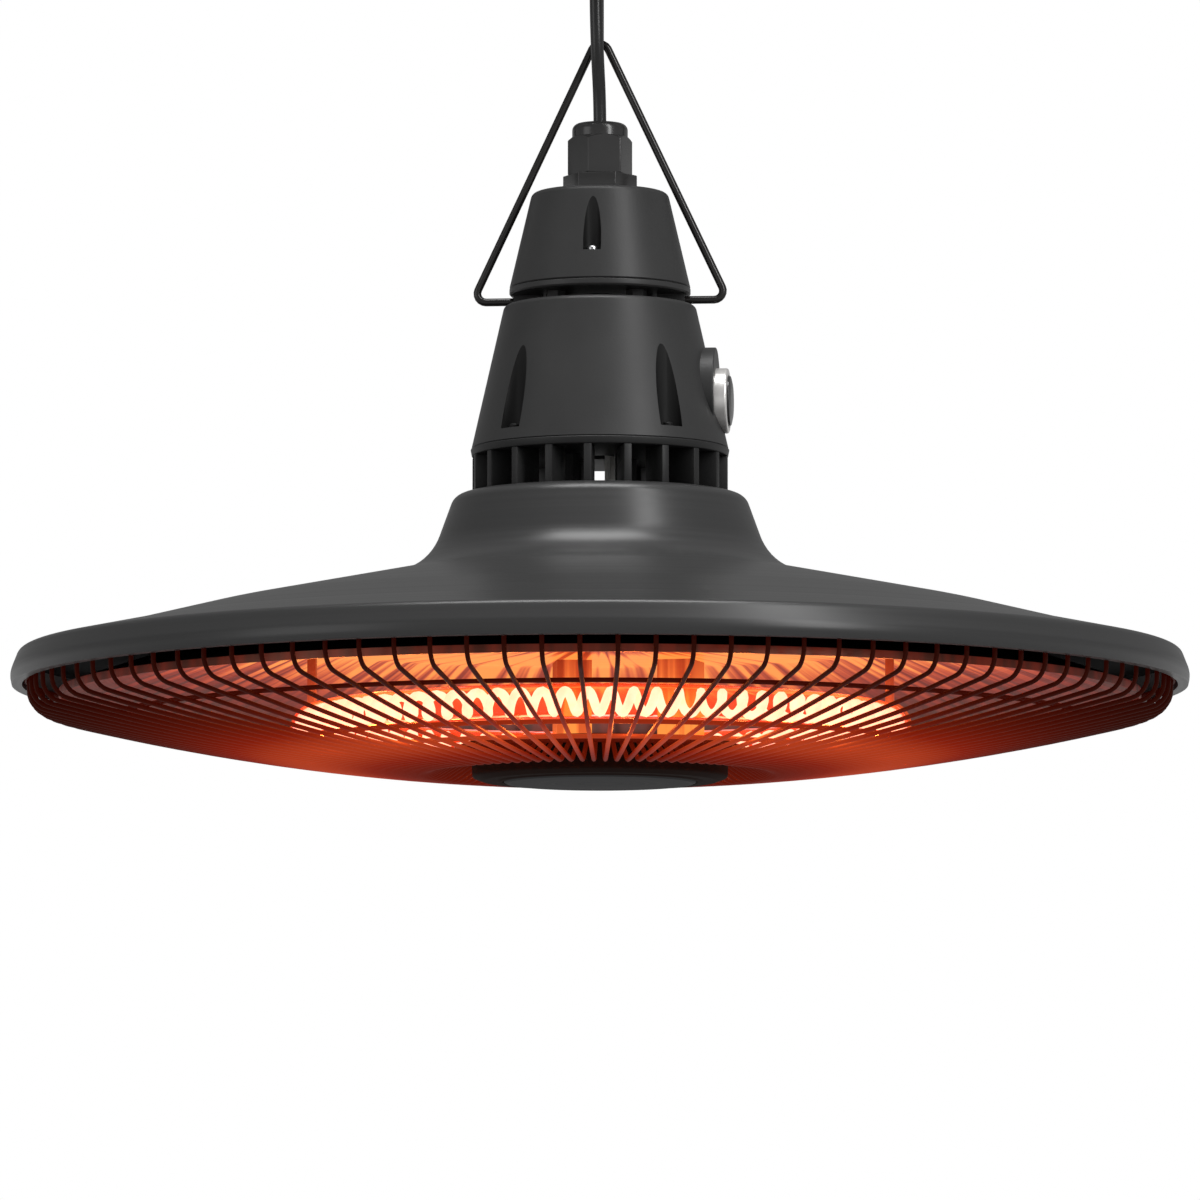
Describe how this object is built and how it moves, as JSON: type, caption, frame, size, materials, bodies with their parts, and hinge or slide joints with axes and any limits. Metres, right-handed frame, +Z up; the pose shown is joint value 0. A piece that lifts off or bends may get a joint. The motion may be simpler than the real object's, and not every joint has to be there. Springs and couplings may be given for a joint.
{
  "type": "hanging infrared patio heater",
  "caption": "Ceiling-hung radiant heater: wide round shade over a glowing ring element behind a radial wire grille, with a tapered switch housing, wire bail, hook, cord and canopy.",
  "frame": {"origin": "middle of the ceiling plate's upper face, on the heater's vertical axis", "axes": "+Z up, -Y the front that the picture shows, +X the side that carries the switch"},
  "size_m": [0.425, 0.425, 0.3222],
  "materials": {
    "charcoal_plastic": "satin, fine texture",
    "charcoal_paint": "satin powder coat",
    "black_plastic": "semi-gloss",
    "black_rubber": "matte",
    "black_cord": "semi-gloss jacket",
    "black_wire": "gloss black",
    "white_plastic": "matte",
    "zinc_plate": "zinc plated",
    "silver_ring": "satin",
    "grey_fins": "satin",
    "polished_reflector": "polished",
    "quartz_glass": "clear",
    "hot_filament": "glowing",
    "ceramic": "unglazed",
    "spring_steel": "bright",
    "bronze_wire": "dark bronze",
    "bronze_paint": "dark bronze",
    "grey_badge": "satin"
  },
  "bodies": {
    "hanger": {"ceiling_plate": "zinc_plate", "canopy_cover": "charcoal_paint", "cord_grip": "black_rubber", "ceiling_terminals": "white_plastic", "hanging_hook": "black_wire", "canopy_nut": "zinc_plate", "hook_nut": "zinc_plate", "bail_wire": "black_wire"},
    "heater": {"supply_cord": "black_cord", "gland_nut": "black_plastic", "gland_seal": "black_rubber", "gland_body": "black_plastic", "upper_cap": "charcoal_plastic", "cap_base": "charcoal_plastic", "terminal_strip": "white_plastic", "bail_saddles": "charcoal_plastic", "neck_spacers": "charcoal_plastic", "lower_housing": "charcoal_plastic", "switch_bezel": "silver_ring", "switch_body": "black_plastic", "switch_nut": "zinc_plate", "vent_collar": "grey_fins", "vent_posts": "zinc_plate", "lead_sleeve": "white_plastic", "shade": "charcoal_paint", "reflector_posts": "zinc_plate", "reflector": "polished_reflector", "thermal_cutout": "zinc_plate", "element_tube": "quartz_glass", "filament": "hot_filament", "element_end_blocks": "ceramic", "element_clips": "spring_steel", "grille": "bronze_wire", "grille_rings": "bronze_wire", "hub_cup": "bronze_paint", "hub_badge": "grey_badge", "grille_clips": "zinc_plate"},
    "button": {"switch_button": "black_plastic"}
  },
  "joints": [
    {"name": "heater_tilt", "type": "hinge", "parent": "hanger", "child": "heater", "pos_m": [0, 0, -0.147], "axis": [1, 0, 0], "range_deg": [-5, 15], "deforming": ["supply_cord"]},
    {"name": "power_button", "type": "slide", "parent": "heater", "child": "button", "axis": [-1, 0, 0], "range_m": [0, 0.0015], "stiffness_N_per_m": 800, "springref_m": -0.001}
  ]
}
